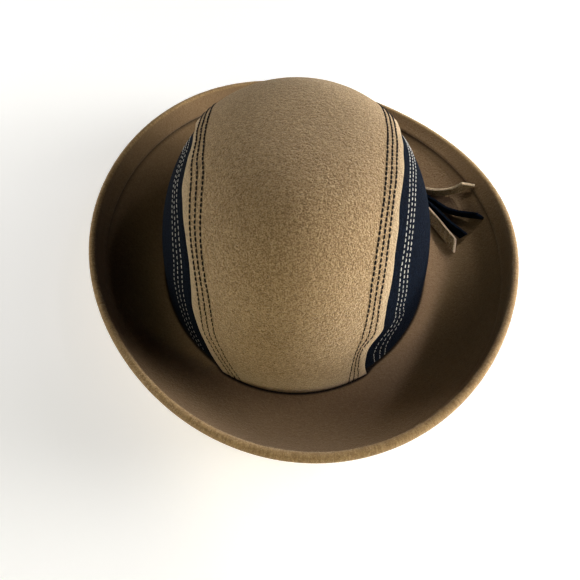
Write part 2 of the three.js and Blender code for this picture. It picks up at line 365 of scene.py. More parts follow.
def row_line(hand, distance):
    """x and station of a row of stitches: the even line beside the cut edge, without the loops it
    makes inside tight bends, where it comes nearer to the edge than it should, smoothed by a bell
    of 1.3 degrees, and moved as it strays."""
    dense = np.linspace(0.6, 179.4, 1500)
    x, station = beside_edge(hand, distance)
    edge = crown_form(*beside_edge(hand, 0))
    gap = np.linalg.norm(crown_form(x, station)[:, None] - edge[None], axis=-1).min(1)
    kept = gap > abs(distance) - 0.15
    x, station = x[kept], station[kept]
    order = np.argsort(station)
    x = np.interp(dense, station[order], x[order])
    bell = np.exp(-((np.arange(-30, 31) / 11) ** 2))
    x = np.convolve(np.pad(x, 30, "edge"), bell / bell.sum(), "valid")
    return x + stray(hand, distance, dense), dense


def pulled_in(hand, rows, x, station):
    """Depth that rows of stitches pull the felt in by: a bell of the distance off each row, which
    is the step along x times the sine of the angle between the row and that step."""
    depth = np.zeros_like(x)
    for row in rows:
        line, dense = row_line(hand, row)
        by_x, by_station = form_slopes(line, dense)
        along = unit(by_x * np.gradient(line, dense)[:, None] + by_station)
        slant = np.linalg.norm(np.cross(by_x, along), axis=-1)
        off = (x - np.interp(station, dense, line)) * np.interp(station, dense, slant)
        depth += GROOVE_DEPTH * np.exp(-((off / GROOVE_HALF_WIDTH) ** 2))
    return depth


def brim_point(bearing, reach, height):
    """Point of the brim's upper face, reach out along the felt from the crown's form and moved
    off by height: its slope grows as ((reach - flat) / (width - flat))^TURN_POWER of the rim's."""
    bearing, reach, height = np.broadcast_arrays(
        np.asarray(bearing, float), np.asarray(reach, float), height
    )
    width = around_brim("width", bearing)
    rim_slope = np.radians(around_brim("slope", bearing))
    a = np.radians(bearing)
    widening = 1 + FRONT_NARROWING * np.sin(a)

    def slope_at(distance):
        """The felt's slope at a distance out."""
        part = np.maximum(distance - FLAT_WIDTH, 0) / (width - FLAT_WIDTH)
        return rim_slope * part**TURN_POWER

    bend = np.maximum(reach - FLAT_WIDTH, 0)
    run, rise = reach - bend, np.zeros_like(bend)
    for i in range(COURSE_STEPS):
        slope = slope_at(FLAT_WIDTH + bend * (i + 0.5) / COURSE_STEPS)
        run = run + bend / COURSE_STEPS * np.cos(slope)
        rise = rise + bend / COURSE_STEPS * np.sin(slope)
    slope = slope_at(reach)
    run = run - height * np.sin(slope)
    rise = rise + height * np.cos(slope)
    outward = unit(
        np.stack(
            [
                CROWN_HALF_LENGTH * np.cos(a),
                CROWN_HALF_WIDTH
                * (widening * np.sin(a) - FRONT_NARROWING * np.cos(a) ** 2),
            ],
            -1,
        )
    )
    x = CROWN_HALF_WIDTH * widening * np.cos(a) + outward[..., 0] * run
    y = CROWN_HALF_LENGTH * np.sin(a) + outward[..., 1] * run
    return np.stack([x, y, FELT + rise], -1)


# ------------------------------------------------------------------ meshes


def new_piece(name, points, faces, finish, smooth=True):
    """A mesh object at the origin, its points given in the hat's frame."""
    mesh = bpy.data.meshes.new(name)
    mesh.from_pydata(to_part(points).tolist(), [], faces.tolist())
    mesh.materials.append(finish)
    mesh.polygons.foreach_set("use_smooth", np.full(len(faces), smooth))
    mesh.update()
    piece = bpy.data.objects.new(name, mesh)
    bpy.context.scene.collection.objects.link(piece)
    return piece


def set_values(piece, name, values):
    """A number for each vertex, which the piece's finish reads."""
    attribute = piece.data.attributes.new(name, "FLOAT", "POINT")
    attribute.data.foreach_set("value", np.asarray(values, np.float32).ravel())


def set_vectors(piece, name, values):
    """A vector for each vertex, which the piece's finish reads."""
    attribute = piece.data.attributes.new(name, "FLOAT_VECTOR", "POINT")
    attribute.data.foreach_set("vector", np.asarray(values, np.float32).ravel())


def loft_faces(sections, around, ring=False):
    """Quads between sections of around points each, every section a closed loop. The sections
    close into a ring, or each end gets a cap of quads between the loop's two halves."""
    i = np.arange(sections if ring else sections - 1)[:, None]
    k = np.arange(around)[None, :]
    a, b = i * around, (i + 1) % sections * around
    k2 = (k + 1) % around
    faces = [np.stack([a + k, b + k, b + k2, a + k2], -1).reshape(-1, 4)]
    if not ring:
        near = np.arange(around // 2 - 1)
        cap = np.stack([near, near + 1, around - 2 - near, around - 1 - near], -1)
        faces += [cap, (cap + (sections - 1) * around)[:, ::-1]]
    return np.concatenate(faces)


def cut_edge(count):
    """Half of a cut edge's section, from its outermost line to the face: how far it is rounded
    in, and its height off the felt's middle as a fraction of the half thickness."""
    turn = np.linspace(0.15, np.pi / 2, count, endpoint=False)
    return EDGE_ROUNDING * (1 - np.cos(turn)), np.sin(turn) ** 0.7


# ------------------------------------------------------------------ finishes


class Wire:
    """A socket's output; sums with it add Math nodes to its finish."""

    def __init__(self, finish, socket):
        self.finish, self.socket = finish, socket

    def math(self, operation, *values):
        """A Math node's output, with this wire as its first value."""
        node = self.finish.node(
            "ShaderNodeMath",
            {"operation": operation},
            dict(enumerate((self, *values))),
        )
        return Wire(self.finish, node.outputs[0])

    def __add__(self, other):
        return self.math("ADD", other)

    def __sub__(self, other):
        return self.math("SUBTRACT", other)

    def __rsub__(self, other):
        return self * -1 + other

    def __mul__(self, other):
        return self.math("MULTIPLY", other)

    __radd__ = __add__
    __rmul__ = __mul__

    def clipped(self):
        """Held between 0 and 1."""
        return self.math("MAXIMUM", 0.0).math("MINIMUM", 1.0)


class Finish:
    """A material whose nodes all come from node(); its surface is one Principled shader."""

    def __init__(self, name, **steady):
        self.material = bpy.data.materials.new(name)
        self.material.use_nodes = True
        self.tree = self.material.node_tree
        self.tree.nodes.clear()
        self.shader = self.node("ShaderNodeBsdfPrincipled", {}, {})
        self.set(**steady)
        self.node(
            "ShaderNodeOutputMaterial",
            {},
            {"Surface": Wire(self, self.shader.outputs[0])},
        )

    def node(self, kind, settings, values):
        """A node of a kind: its settings first, then its sockets' values or links."""
        node = self.tree.nodes.new(kind)
        for key, value in settings.items():
            setattr(node, key, value)
        for key, value in values.items():
            self.put(node.inputs[key], value)
        return node

    def put(self, socket, value):
        """Links a wire to a socket, or sets the socket to a plain value."""
        if isinstance(value, Wire):
            self.tree.links.new(value.socket, socket)
        else:
            socket.default_value = value

    def out(self, kind, settings, values, output=0):
        """One output of a new node, ready for sums."""
        return Wire(self, self.node(kind, settings, values).outputs[output])

    def set(self, **values):
        """The shader's own sockets, their names written with _ for a space."""
        for key, value in values.items():
            self.put(self.shader.inputs[key.replace("_", " ")], value)

    def place(self):
        """Object coordinates, in metres."""
        return self.out("ShaderNodeTexCoord", {}, {}, "Object")

    def read(self, name):
        """A number that the piece has for each vertex."""
        return self.out("ShaderNodeAttribute", {"attribute_name": name}, {}, "Fac")

    def read_vector(self, name):
        """A vector that the piece has for each vertex."""
        return self.out("ShaderNodeAttribute", {"attribute_name": name}, {}, "Vector")

    def noise(self, where, size, detail=2.0, roughness=0.5, distortion=0.0):
        """Noise from 0 to 1 whose grains are about size across, in where's own units."""
        return self.out(
            "ShaderNodeTexNoise",
            {},
            {
                "Vector": where,
                "Scale": 1 / size,
                "Detail": detail,
                "Roughness": roughness,
                "Distortion": distortion,
            },
            "Fac",
        )

    def mix(self, share, first, second, blend="MIX"):
        """The first colour, and as much of the second as share says."""
        return self.out(
            "ShaderNodeMix",
            {"data_type": "RGBA", "blend_type": blend, "clamp_factor": True},
            {0: share, 6: first, 7: second},
            2,
        )

    def bump(self, height, distance, strength):
        """A normal for the surface, raised by up to distance metres."""
        values = {"Height": height, "Distance": distance, "Strength": strength}
        return self.out("ShaderNodeBump", {}, values)


def colour(red, green, blue):
    """A linear colour, opaque."""
    return (red, green, blue, 1.0)


# Grain of the felt and threads, in metres.
PEEL, NAP, CLOUDS, STROKES = 0.0017, 0.0007, 0.028, 0.0012
FIBRE_PATCH, LINT = 0.002, 0.0004


def soft_sheen(weight, roughness, tint):
    """The shader's values for the light that a nap throws back at its edges."""
    return {"Sheen_Weight": weight, "Sheen_Roughness": roughness, "Sheen_Tint": tint}


def felt_finish(name, deep, base, pale, sheen, grain, cut=None, outside=None):
    """Pressed wool felt: base, with deep painted into its pits as shade and pale on its fibre
    tips.
    grain is how strongly the short nap shows; cut is the paler colour painted along cut edges as a
    highlight, and outside is how much the felt's painted shade is lifted on its outer side."""
    felt = Finish(name, Roughness=0.92, Specular_IOR_Level=0.04, **sheen)
    place = felt.place()
    peel = felt.noise(place, PEEL, 1.5, 0.5, 0.9)
    nap = felt.noise(place, NAP, 3.0, 0.62, 0.5)
    clouds = felt.noise(place, CLOUDS)
    # The tone follows the bump's noise, so its pits are painted darker as shade.
    tone = (nap - 0.5) * (4.4 * grain) + (peel - 0.5) * (1.3 * grain) + 0.5
    tone = tone + (clouds - 0.5) * 0.15
    height = peel * 0.75 + nap * 0.4
    if outside:
        brushed = felt.read_vector("brushed")
        strokes = felt.noise(brushed, STROKES, 3.0, 0.6, 0.4)
        across = felt.read("outside")
        tone = tone + (strokes - 0.5) * across * 1.7
        height = height + strokes * across * 0.6
    low = felt.mix((tone * 2).clipped(), deep, base)
    shade = felt.mix((tone * 2 - 1).clipped(), low, pale)
    # Lifts the painted shade back up on the outer side and round the rim.
    if outside:
        shade = felt.mix(across, shade, outside, "MULTIPLY")
    # Painted highlight: the paler cut colour where the piece marks lit cut edges.
    if cut:
        shade = felt.mix(felt.read("cut_edge"), shade, cut)
    # Painted shade: the dark crease colour where the piece marks a join or groove that lies in
    # shade.
    shade = felt.mix(felt.read("painted_crease_shade"), shade, PAINTED_CREASE_SHADE)
    felt.set(Base_Color=shade)
    felt.set(Normal=felt.bump(height, 0.001 + 0.0014 * grain, 0.4 + 0.6 * grain))
    return felt.material


def fibre_finish(name, base, pale):
    """Loose wool fibres, some paler than others."""
    fibres = Finish(name, Roughness=0.8, Specular_IOR_Level=0.1)
    patch = fibres.noise(fibres.place(), FIBRE_PATCH)
    fibres.set(Base_Color=fibres.mix((patch * 2 - 0.5).clipped(), base, pale))
    return fibres.material


def thread_finish(name, base, pale, sheen):
    """Spun thread: two plies twisted round each other, with shade painted dark in the groove
    between them.
    """
    thread = Finish(name, Roughness=0.75, Specular_IOR_Level=0.15, **sheen)
    plies = thread.read("plies")
    lint = thread.noise(thread.place(), LINT)
    shade = thread.mix((plies * 0.75 + lint * 0.35).clipped(), base, pale)
    thread.set(Base_Color=shade, Normal=thread.bump(plies, 0.00015, 0.8))
    return thread.material


TAN_SHEEN = soft_sheen(0.5, 0.45, colour(1.0, 0.84, 0.63))
BRIM_SHEEN = soft_sheen(0.22, 0.45, colour(1.0, 0.84, 0.66))
BLACK_SHEEN = soft_sheen(0.009, 0.4, colour(0.38, 0.56, 0.9))
# Colour of the painted shade in the join under the crown's feet and in the welt's groove.
PAINTED_CREASE_SHADE = colour(0.007, 0.0045, 0.003)

crown_felt = felt_finish(
    "crown_tan_felt",
    colour(0.205, 0.13, 0.06),
    colour(0.335, 0.22, 0.11),
    colour(0.51, 0.365, 0.205),
    TAN_SHEEN,
    1.0,
    # Paler colour painted as a highlight along cut edges, out to the first stitches and at the
    # front foot; the tan strips use it on their cut edges too.
    cut=colour(0.52, 0.4, 0.25),
)
# The brim's felt is the crown's tan felt painted at about 0.55 of its colour, a painted shade over
# the brim's upper face; outside multiplies it back near the crown's tone on the outer side.
brim_felt = felt_finish(
    "brim_tan_felt_painted_shade",
    colour(0.126, 0.078, 0.038),
    colour(0.185, 0.119, 0.063),
    colour(0.262, 0.181, 0.098),
    BRIM_SHEEN,
    0.35,
    outside=colour(1.62, 1.65, 1.5),
)
black_felt = felt_finish(
    "black_felt",
    colour(0.0007, 0.0015, 0.0033),
    colour(0.0014, 0.003, 0.007),
    colour(0.0052, 0.0096, 0.0185),
    BLACK_SHEEN,
    0.8,
)
fibre = fibre_finish("tan_fibre", colour(0.42, 0.31, 0.18), colour(0.62, 0.5, 0.34))
dark_thread = thread_finish(
    "dark_thread",
    colour(0.002, 0.0018, 0.0018),
    colour(0.007, 0.006, 0.0055),
    soft_sheen(0.02, 0.4, colour(0.5, 0.45, 0.4)),
)
light_thread = thread_finish(
    "light_thread",
    colour(0.3, 0.28, 0.24),
    colour(0.72, 0.7, 0.64),
    soft_sheen(0.3, 0.4, colour(1.0, 0.97, 0.9)),
)

# ------------------------------------------------------------------ crown


WOBBLE_FADE = 1.6  # how far in from a cut edge its wobble fades away
PAINTED_HIGHLIGHT_EDGE, PAINTED_HIGHLIGHT_EDGE_FADE = 1.0, 0.5  # width of felt along a cut edge painted paler as a highlight, and its soft end
PAINTED_HIGHLIGHT_MARGIN, PAINTED_HIGHLIGHT_MARGIN_FADE, PAINTED_HIGHLIGHT_SHARE = 5.4, 1.5, 0.5  # felt between cut edge and first stitches, painted paler as a highlight
PAINTED_HIGHLIGHT_FOOT, PAINTED_HIGHLIGHT_FOOT_FADE = 170, 8  # stations over which the front foot is painted paler as a highlight
SIDE_CLIMB = 100  # length of felt from a side panel's foot to its hidden edge, roughly
SIDE_MARGIN = 0.008  # share of that length from an edge to the first row of its face


def near_edge_columns():
    """Distances in from the cut edge at which the centre panel has columns, closest at its rows
    of stitches."""
    around_row = GROOVE_HALF_WIDTH * np.array([-2, -1, 0, 1, 2])
    rows = np.concatenate([row + around_row for row in DARK_ROWS])
    return np.unique(np.round(np.concatenate([[1, 2, 3, 4], rows, [16.4, 18]]), 3))


def crown_centre(stations=300, middle_columns=46):
    """The centre panel: columns of points from foot to foot, at set distances from each cut edge
    and evenly spread between, each with an outer and an inner point. Its cut edges are rounded,
    and its outer points are pulled in along the rows of stitches."""
    station = np.linspace(180, 0, stations)
    inset, height = cut_edge(4)
    near = near_edge_columns()
    inwards = np.concatenate([inset, near])
    wobbles = np.concatenate([np.ones(len(inset)), np.exp(-near / WOBBLE_FADE)])

    def column(hand, distance, wobble):
        """x at every station, a distance in from the cut edge on that hand."""
        x, at = beside_edge(hand, -distance)
        order = np.argsort(at)
        line = np.interp(station, at[order], x[order])
        line = line + stray(hand, -distance, station)
        return line + wobble * edge_wobble(hand, station)

    left, right = [
        [column(hand, d, w) for d, w in zip(inwards, wobbles)] for hand in (-1, 1)
    ]
    share = np.linspace(0, 1, middle_columns + 2)[1:-1]
    between = [left[-1] * (1 - s) + right[-1] * s for s in share]
    x = np.array(left + between + right[::-1]).T
    half = FELT / 2
    face = np.full(len(near) * 2 + middle_columns, half)
    lifts = np.concatenate([half * height, face, (half * height)[::-1]])
    at = np.broadcast_to(station[:, None], x.shape)
    rows = [-row for row in DARK_ROWS]
    dents = pulled_in(-1, rows, x, at) + pulled_in(1, rows, x, at)
    middle = CENTRE_PROUD - half
    outer = crown_form(x, at, middle + lifts - dents)
    inner = crown_form(x, at, middle - lifts)
    points = np.concatenate([outer, inner[:, ::-1]], 1)
    piece = new_piece(
        "crown_centre_panel_felt",
        points.reshape(-1, 3),
        loft_faces(stations, points.shape[1])[:, ::-1],
        crown_felt,
    )
    gap = np.concatenate([inwards, np.full(middle_columns, np.inf), inwards[::-1]])
    gap = np.concatenate([gap, gap[::-1]])
    # Painted highlight: paler at the cut edges, over the felt out to the first stitches, and
    # towards the front foot.
    painted_edge_highlight = np.clip((PAINTED_HIGHLIGHT_EDGE - gap) / PAINTED_HIGHLIGHT_EDGE_FADE, 0, 1)
    painted_margin_highlight = PAINTED_HIGHLIGHT_SHARE * np.clip((PAINTED_HIGHLIGHT_MARGIN - gap) / PAINTED_HIGHLIGHT_MARGIN_FADE, 0, 1)
    foot = PAINTED_HIGHLIGHT_SHARE * np.clip((station - PAINTED_HIGHLIGHT_FOOT) / PAINTED_HIGHLIGHT_FOOT_FADE, 0, 1)
    set_values(piece, "cut_edge", np.maximum(np.maximum(painted_edge_highlight, painted_margin_highlight), foot[:, None]))
    return piece


def crown_side(hand, stations=300, rows=96):
    """One side panel: rows of points from the crown's foot up to the hidden edge, each with an
    outer and an inner point. Along a bearing the form climbs as cos and sin to fixed powers."""
    end = HIDDEN_END
    station = np.linspace(end, 180 - end, stations)
    x = hand * (
        HIDDEN_FOOT
        + (HIDDEN_TOP - HIDDEN_FOOT) * np.sin(np.radians(station)) ** HIDDEN_POWER
    )
    X, Y, _ = fractions_at(x, station)
    bearing = np.arctan2(Y, X)[:, None]
    top = np.arccos(np.hypot(X, Y) ** (SHOULDER_POWER / 2))[:, None]
    inset, height = cut_edge(3)
    inset = inset / SIDE_CLIMB
    face = np.linspace(SIDE_MARGIN, 1 - SIDE_MARGIN, rows)
    share = np.concatenate([inset, face, (1 - inset)[::-1]])
    lifts = np.concatenate([height, np.ones(rows), height[::-1]]) * FELT / 2
    climb = share[None, :] * top
    inward = np.cos(climb) ** (2 / SHOULDER_POWER)
    fractions = (
        np.cos(bearing) * inward,
        np.sin(bearing) * inward,
        np.sin(climb) ** (2 / DOME_POWER),
    )
    x = CROWN_HALF_WIDTH * (1 + FRONT_NARROWING * fractions[1]) * fractions[0]
    at = np.degrees(np.arctan2(fractions[2], fractions[1]))
    dents = pulled_in(hand, LIGHT_ROWS, x, at)
    middle = -SIDE_SUNK - FELT / 2
    outer = crown_point(*fractions, middle + lifts - dents)
    inner = crown_point(*fractions, middle - lifts)
    points = np.concatenate([outer, inner[:, ::-1]], 1)
    faces = loft_faces(stations, points.shape[1])
    if hand > 0:
        faces = faces[:, ::-1]
    name = "crown_side_right_felt" if hand > 0 else "crown_side_left_felt"
    return new_piece(name, points.reshape(-1, 3), faces, black_felt)


# ------------------------------------------------------------------ brim

# The welt's cut edge on the brim's upper face: distance out from its line, share of the welt's
# height, drop below the face, and how dark shade is painted in the groove beside it.
WELT_STEP = {
    "out": [0.5, 0.1, 0, -0.05, -0.8, -2, -3.6],
    "proud": [0.9, 0.7, 0.45, 0.12, 0, 0, 0],
    "sunk": [0, 0, 0, 0, 0.25, 0.15, 0],
    "painted_crease_shade": [0, 0.3, 0.8, 1, 0.9, 0.4, 0],
}
# The upper face under the crown's foot: distance out from the crown's form, and drop.
BRIM_FOOT = {
    "out": [2.7, 2.2, 1.7, 1.1, 0.5, 0, -0.6, -1.2],
    "sunk": [0, 0, 0, 0, 0.05, 0.2, 0.3, 0.3],
}
WELT_PRESSED, WELT_LOOSE = 0.25, 0.85  # share of a felt's thickness it stands, front and back
FACE_END = 3.2  # where the upper face's evenly spaced points end
RIM_FULLNESS = 1.3  # how much thicker than the felt the rim is at the front
WELT_ROUNDING = 3.2  # width over which the rim's roundness sinks to the welt
# The seam's dark line is painted shade in the join under the centre panel's front and back feet.
SEAM_WIDTH, SEAM_HALF_LENGTH = 2.8, 43  # dark line at the centre panel's front and back feet
BRUSHED_RADIUS, BRUSHED_STRETCH = 140, 0.22  # the fibres lie across the rim


def frontness(bearing, power=4):
    """1 at the front and 0 from the sides back: a power of the sine of the bearing."""
    return np.clip(-np.sin(np.radians(bearing)), 0, 1) ** power


def rim_section(bearing, turn):
    """Reach and height of the rim at a turn from its lower side (0) to its upper side (pi): half
    an ellipse, as high as the felt and RIM_FULLNESS more at the front."""
    full = FELT + RIM_FULLNESS * frontness(bearing)
    reach = around_brim("width", bearing) + full * np.sin(turn)
    return reach, (full - FELT) / 2 - (full + FELT) / 2 * np.cos(turn)


def brim(sectors=288, fine=40):
    """The brim as a closed section at each bearing, carried round in a ring: out along its lower
    face, round the rim, in over the folded welt to its cut edge and on to the head opening. The
    welt stands proud at the back and is pressed nearly flat elsewhere."""
    bearing = np.linspace(0, 360, sectors, endpoint=False)[:, None]
    width = around_brim("width", bearing)
    welt = around_brim("welt", bearing)
    at_back = np.clip(np.sin(np.radians(bearing)) + 0.15, 0, 1) ** 0.7
    proud = FELT * (WELT_PRESSED + (WELT_LOOSE - WELT_PRESSED) * at_back)
    full = FELT + RIM_FULLNESS * frontness(bearing)
    even = np.linspace(0, 1, fine)
    lower = FLAT_WIDTH + (width - FLAT_WIDTH) * even
    rim, rim_height = rim_section(bearing, np.linspace(0, np.pi, 13)[1:-1])
    top = width - (welt - 0.6) * np.linspace(0, 1, 12) ** 1.7
    roll = (full - proud) * np.exp(-(((width - top) / WELT_ROUNDING) ** 2))
    cut = {name: np.array(values) for name, values in WELT_STEP.items()}
    step = width - welt + cut["out"]
    upper = step[:, -1:] + (FACE_END - step[:, -1:]) * even[1:]
    course = [
        (-CROWN_INSET, -FELT),
        (lower, -FELT),
        (rim, rim_height),
        (top, proud + roll),
        (step, proud * cut["proud"] - cut["sunk"]),
        (upper, 0),
        (np.array(BRIM_FOOT["out"]), -np.array(BRIM_FOOT["sunk"])),
        (-CROWN_INSET, 0),
    ]
    course = [np.broadcast_arrays(r + 0 * width, h + 0 * width) for r, h in course]
    reach, height = [np.concatenate(part, 1) for part in zip(*course)]
    ends = np.cumsum([r.shape[1] for r, _ in course])
    rim_start, step_start, step_end = ends[1], ends[3], ends[4]
    points = brim_point(bearing, reach, height)
    piece = new_piece(
        "brim_felt",
        points.reshape(-1, 3),
        loft_faces(sectors, points.shape[1], ring=True),
        brim_felt,
    )
    column = np.arange(reach.shape[1])
    at_feet = 1 / (1 + np.exp((np.abs(points[:, -1:, 0]) - SEAM_HALF_LENGTH) / 1.5))
    # Painted shade: a dark band in the join under the centre panel's feet, and in the groove
    # beside the welt's cut edge, painted darker towards the back.
    painted_crease_shade = np.clip(SEAM_WIDTH * at_feet + 0.1 - reach, 0, 1) * (column >= step_end)
    painted_crease_shade[:, step_start:step_end] = cut["painted_crease_shade"] * (0.1 + 0.75 * at_back)
    set_values(piece, "painted_crease_shade", painted_crease_shade)
    # Where the brim's painted shade is lifted: the outer face, and round the rim, reaching further
    # in at the front as a painted highlight where the rim shows lit.
    over_rim = 0.6 + 3.4 * frontness(bearing, 2.5)
    outside = (reach - width + over_rim) / (1.5 + 2 * frontness(bearing))
    outside = np.where(column < rim_start, 1, np.clip(outside, 0, 1))
    set_values(piece, "outside", outside)
    round_rim = np.radians(bearing) * BRUSHED_RADIUS + 0 * reach
    across = [reach * BRUSHED_STRETCH, height * BRUSHED_STRETCH]
    set_vectors(piece, "brushed", np.stack([round_rim, *across], -1) / 1000)
    return piece


FIBRE_RADIUS, FIBRE_SHORT, FIBRE_LONG = 0.045, 0.5, 1.3  # of the loose fibres on the rim


def rim_fuzz(count=9000):
    """Single fibres that stand off the rim: each a thin spike with a foot of three corners, its
    tip off the foot's middle by its length along a leaning direction."""
    bearing = rng.uniform(0, 360, count)
    turn = rng.uniform(0.12, 0.98, count) * np.pi
    reach, height = rim_section(bearing, turn)
    place = brim_point(bearing, reach, height)
    outward = brim_point(bearing, reach + np.sin(turn), height - np.cos(turn)) - place
    around = brim_point(bearing + 0.2, reach, height) - place
    lean = rng.normal(0, 0.55, (count, 3))
    along = unit(unit(outward) + lean)
    beside = unit(np.cross(along, unit(around) + 0.01))
    other = np.cross(along, beside)
    long = rng.uniform(FIBRE_SHORT, FIBRE_LONG, count)[:, None]
    corners = [
        place - along * 0.1 + FIBRE_RADIUS * (np.cos(a) * beside + np.sin(a) * other)
        for a in np.radians([0, 120, 240])
    ]
    bend = rng.normal(0, 0.18, (count, 3))
    tip = place + (along + bend) * long
    points = np.stack(corners + [tip], 1).reshape(-1, 3)
    one = np.array([[0, 1, 3], [1, 2, 3], [2, 0, 3], [2, 1, 0]])
    faces = (one[None] + np.arange(count)[:, None, None] * 4).reshape(-1, 3)
    return new_piece("brim_rim_fibres", points, faces, fibre, smooth=False)


# ------------------------------------------------------------------ strips


def strip_course(strip, reach):
    """A strip's middle line at a distance from the crown: its place, its direction, the brim's
    normal there, its lean, and how far the line runs for each millimetre of that distance."""
    lean = np.radians(along_table(strip, "reach", "lean", reach))
    height = (
        along_table(strip, "reach", "lift", reach)
        + STRIP_WIDTH / 2 * np.sin(lean)
        + FELT / 2 * np.cos(lean)
    )

    def at(distance, extra):
        """The line's point at a distance from the crown, extra further off the brim."""
        bearing = along_table(strip, "reach", "bearing", distance)
        return brim_point(bearing, distance, height + extra)

    step = 0.2
    middle = at(reach, 0)
    along = at(reach + step, 0) - at(reach - step, 0)
    length = np.linalg.norm(along, axis=-1, keepdims=True)
    along = along / length
    off = at(reach, 1) - middle
    off = unit(off - along * np.sum(off * along, -1, keepdims=True))
    return middle, along, off, lean[..., None], length[..., 0] / (2 * step)


STRIP_MARGIN = 0.08  # share of a strip's width from an edge to the first line of its face
PAINTED_HIGHLIGHT_SIDE, PAINTED_HIGHLIGHT_SIDE_FADE, PAINTED_HIGHLIGHT_END = 0.06, 0.04, 0.015  # shares painted paler as a highlight along the cut sides and the outer end


def trim_strip(name, finish, lengths=90, columns=8):
    """A strip of felt: a rounded flat section carried along its course. slant times (1/2 - t)
    times the fourth power of the share of its length lengthens it at its lower edge."""
    strip = STRIPS[name]
    s = np.linspace(0, 1, lengths)[:, None]
    inset, height = cut_edge(3)
    edge = inset / STRIP_WIDTH
    face = np.linspace(STRIP_MARGIN, 1 - STRIP_MARGIN, columns)
    across = np.concatenate([edge, face, (1 - edge)[::-1]])
    half = np.concatenate([height, np.ones(columns), height[::-1]]) * FELT / 2
    t = np.concatenate([across, across[::-1]])[None, :]
    through = np.concatenate([half, -half[::-1]])[None, :]
    first, last = strip["reach"][0], strip["reach"][-1]
    reach = first + (last - first) * s + 0 * t
    pace = strip_course(strip, reach)[4]
    reach = reach + strip["slant"] * (0.5 - t) * s**4 / pace
    middle, along, off, lean, _ = strip_course(strip, reach)
    up_strip = np.cross(off, along) * np.cos(lean) + off * np.sin(lean)
    facing = np.cross(along, up_strip)
    points = (
        middle
        + up_strip * (STRIP_WIDTH * (t - 0.5))[..., None]
        + facing * through[..., None]
    )
    piece = new_piece(
        name + "_felt",
        points.reshape(-1, 3),
        loft_faces(lengths, points.shape[1]),
        finish,
    )
    # Painted highlight along the cut sides and the outer end, read by the tan strips' finish.
    near_edge = np.clip((PAINTED_HIGHLIGHT_SIDE - np.minimum(t, 1 - t)) / PAINTED_HIGHLIGHT_SIDE_FADE, 0, 1)
    near_end = np.clip(1 - (1 - s) / PAINTED_HIGHLIGHT_END, 0, 1)
    set_values(piece, "cut_edge", np.maximum(near_edge, near_end))
    return piece


# ------------------------------------------------------------------ stitches


def stitch_row(hand, distance, lift, stitch):
    """Points of one row of stitches beside the cut edge: thread tubes that taper into the felt at
    both ends, the tube's radius falling as (1 - |u|^2.6)^0.5 along it. The thread is drawn thin
    towards the front foot."""
    thickness = stitch["thickness"][hand]
    x, dense = row_line(hand, distance)
    line = crown_form(x, dense)
    run = np.concatenate([[0], np.cumsum(np.linalg.norm(np.diff(line, axis=0), axis=1))])
    count = int(run[-1] / stitch["pitch"])
    middle = (np.arange(count) + rng.uniform(0.2, 0.8)) * run[-1] / count
    middle += rng.normal(0, 0.1, count)
    x, station = np.interp(middle, run, x), np.interp(middle, run, dense)
    by_x, by_station = form_slopes(x, station)
    normal = unit(np.cross(by_x, by_station)) * -1
    normal *= np.sign(np.sum(normal * crown_form(x, station), -1, keepdims=True))
    sides = [
        np.stack([np.interp(middle + d, run, line[:, a]) for a in range(3)], -1)
        for d in (0.6, -0.6)
    ]
    along = unit(sides[0] - sides[1])
    beside = np.cross(normal, along)
    swing = rng.normal(0, 0.05, count)[:, None]
    along = unit(along + beside * swing)
    beside = np.cross(normal, along)
    place = crown_form(x, station, lift) + beside * rng.normal(0, 0.07, count)[:, None]

    u = np.linspace(-1, 1, THREAD_RINGS)
    v = np.linspace(0, 2 * np.pi, THREAD_SIDES, endpoint=False)
    drawn = 1 - 0.5 * np.clip((station - THIN_FROM) / THIN_OVER, 0, 1)
    radius = np.maximum(1 - np.abs(u) ** 2.6, 0.02) ** 0.5 * thickness / 2
    radius = radius * drawn[:, None]
    lengths = stitch["length"] / 2 * (1 + rng.normal(0, 0.05, count))
    down = thickness * (0.3 - 0.5 * u**4)
    shape = (
        along[:, None, None] * (u[None, :, None] * lengths[:, None, None])[..., None]
        + beside[:, None, None] * (radius[..., None] * np.cos(v))[..., None]
        + normal[:, None, None]
        * (radius[..., None] * 0.6 * np.sin(v) + down[:, None])[..., None]
    )
    plies = 0.5 + 0.5 * np.cos(2 * v[None, :] + 3.2 * u[:, None])
    return place[:, None, None] + shape, np.broadcast_to(plies, shape.shape[:3])


def stitches(name, hand, rows, lift, stitch, finish):
    """All rows of one thread on one side, each stitch a tube of rings with closed ends."""
    made = [stitch_row(hand, row, lift, stitch) for row in rows]
    points = np.concatenate([m[0] for m in made])
    plies = np.concatenate([m[1] for m in made])
    count, rings, around = points.shape[:3]
    i, k = np.arange(rings - 1)[:, None], np.arange(around)[None, :]
    k2 = (k + 1) % around
    sides = np.stack(
        [i * around + k, i * around + k2, (i + 1) * around + k2, (i + 1) * around + k],
        -1,
    ).reshape(-1, 4)
    caps = np.array([[0, 3, 2, 1], [0, 5, 4, 3]])
    caps = np.concatenate([caps, (caps + (rings - 1) * around)[:, ::-1]])
    one = np.concatenate([sides, caps])
    faces = (one[None] + np.arange(count)[:, None, None] * rings * around).reshape(-1, 4)
    piece = new_piece(name, points.reshape(-1, 3), faces, finish)
    set_values(piece, "plies", plies)
    return piece


# ------------------------------------------------------------------ the hat


def put(piece, node=None):
    """The piece rides on the hat's one body, in place of its CAD node."""
    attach(piece, "root")
    if node:
        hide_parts(node)


